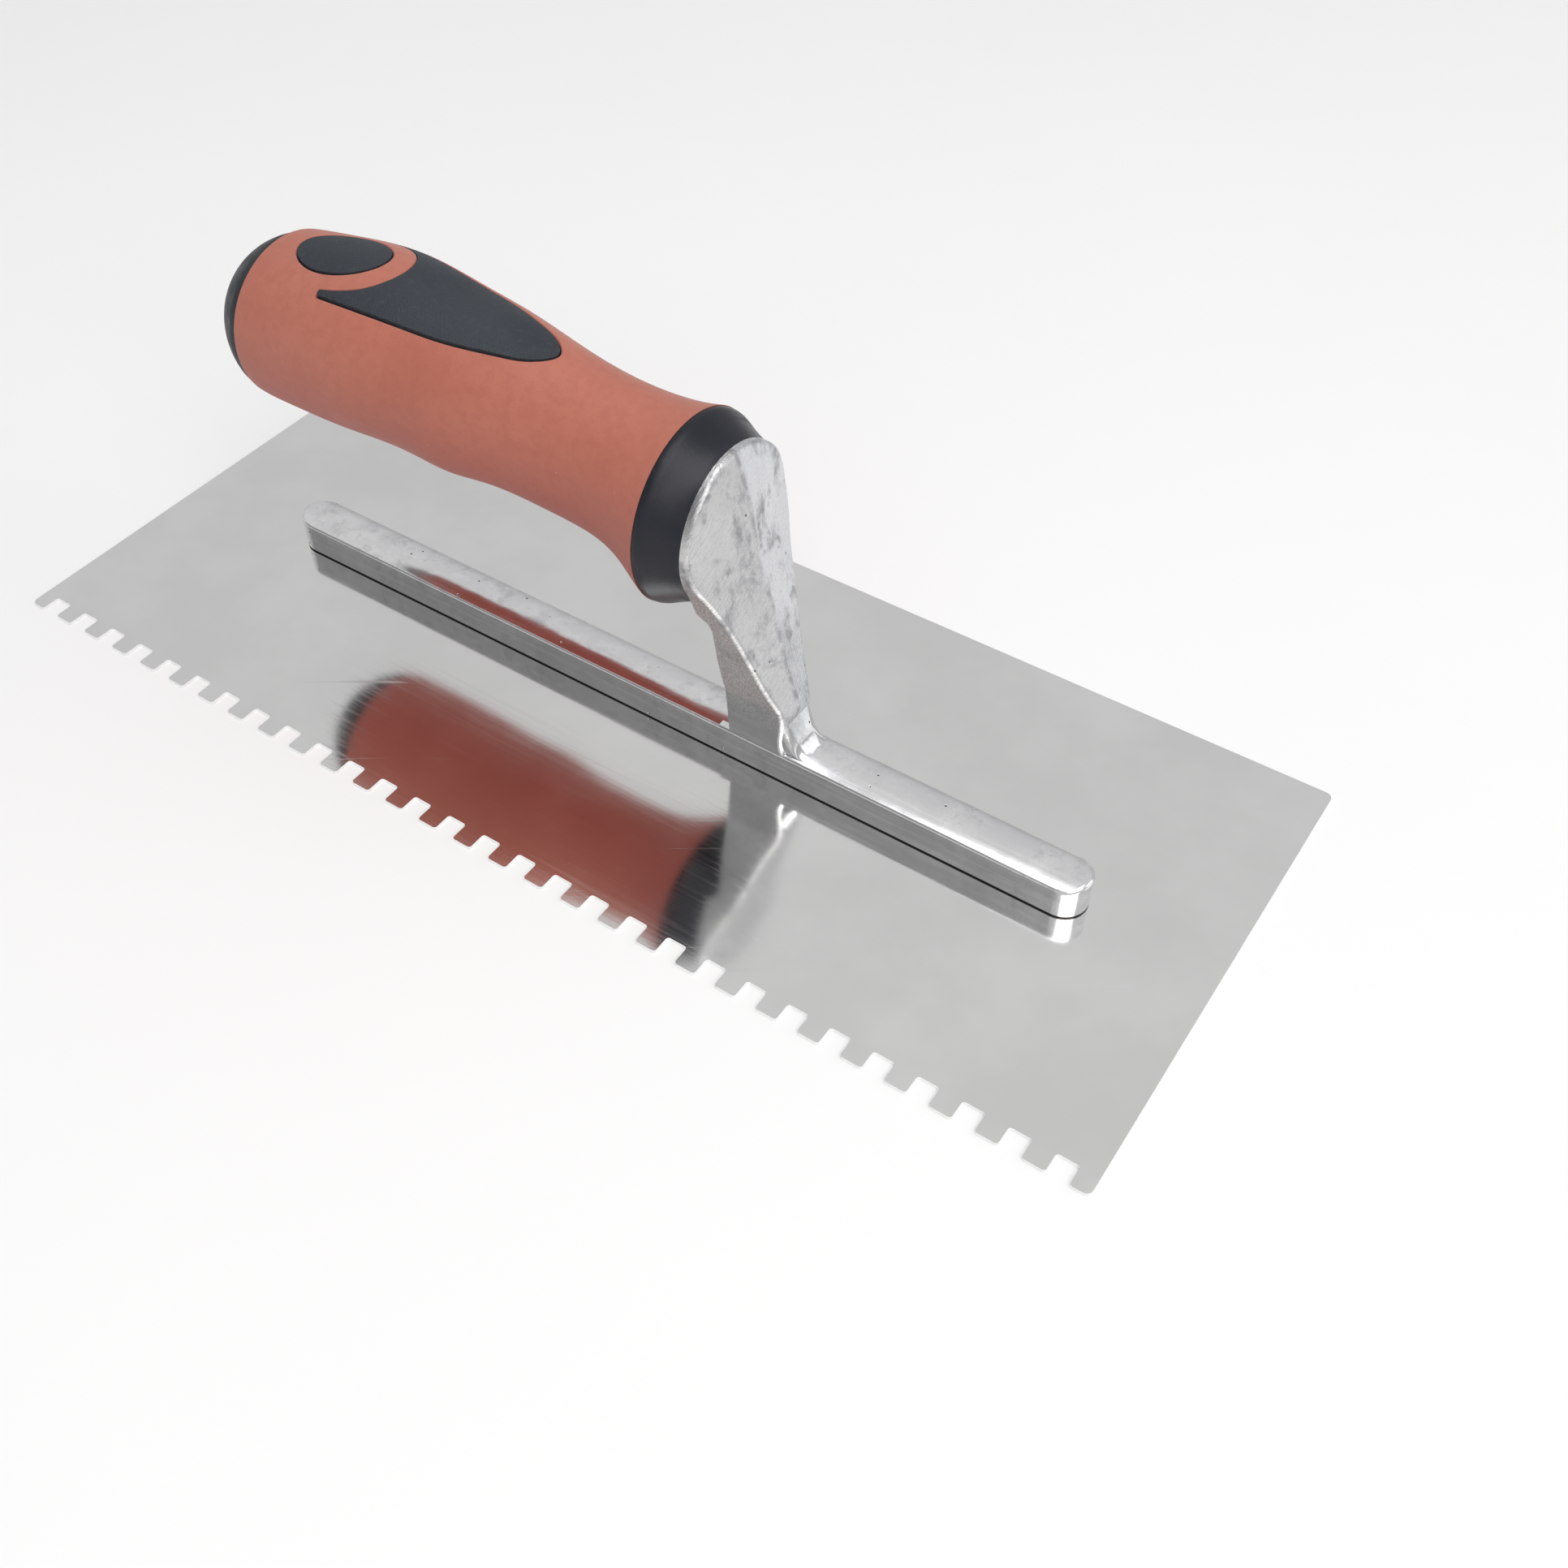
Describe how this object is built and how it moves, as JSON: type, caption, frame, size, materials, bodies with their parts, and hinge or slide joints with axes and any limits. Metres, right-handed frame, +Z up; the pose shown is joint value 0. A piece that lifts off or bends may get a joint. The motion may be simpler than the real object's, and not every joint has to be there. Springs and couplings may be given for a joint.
{
  "type": "notched trowel",
  "caption": "Flat rectangular trowel with a square-notched long edge, a long cast mounting riveted to the blade, and a soft-grip handle held above it by a single shank at the front.",
  "frame": {"origin": "centre of the blade's flat underside, which rests on the floor", "axes": "+X along the blade towards the toe, which is the end that the shank stands nearer to; +Z up, from the blade to the handle; -Y towards the notched long edge"},
  "size_m": [0.2794, 0.1142, 0.089],
  "materials": {
    "blade_steel": "mirror-polished stainless sheet with bright cut edges",
    "cast_aluminium": "ground and polished casting with small pits and fine grinding marks",
    "rivet_metal": "satin, set flush",
    "core_plastic": "moulded, hidden under the grip",
    "grip_rubber": "soft matte terracotta red with a fine moulded grain",
    "inlay_rubber": "soft matte slate black with a fine stipple",
    "collar_plastic": "smooth satin black",
    "cap_plastic": "fine-grained matte black",
    "zinc_steel": "zinc plated"
  },
  "bodies": {
    "root": {"blade": "blade_steel", "mounting": "cast_aluminium", "blade_rivet_1": "rivet_metal", "blade_rivet_2": "rivet_metal", "blade_rivet_3": "rivet_metal", "blade_rivet_4": "rivet_metal", "blade_rivet_5": "rivet_metal", "blade_rivet_6": "rivet_metal", "blade_rivet_7": "rivet_metal", "blade_rivet_8": "rivet_metal", "blade_rivet_9": "rivet_metal", "handle_core": "core_plastic", "grip_shell": "grip_rubber", "thumb_inlay": "inlay_rubber", "palm_inlay": "inlay_rubber", "front_collar": "collar_plastic", "butt_cap": "cap_plastic", "handle_bolt": "zinc_steel", "flat_washer": "zinc_steel", "lock_washer": "zinc_steel"}
  },
  "joints": []
}
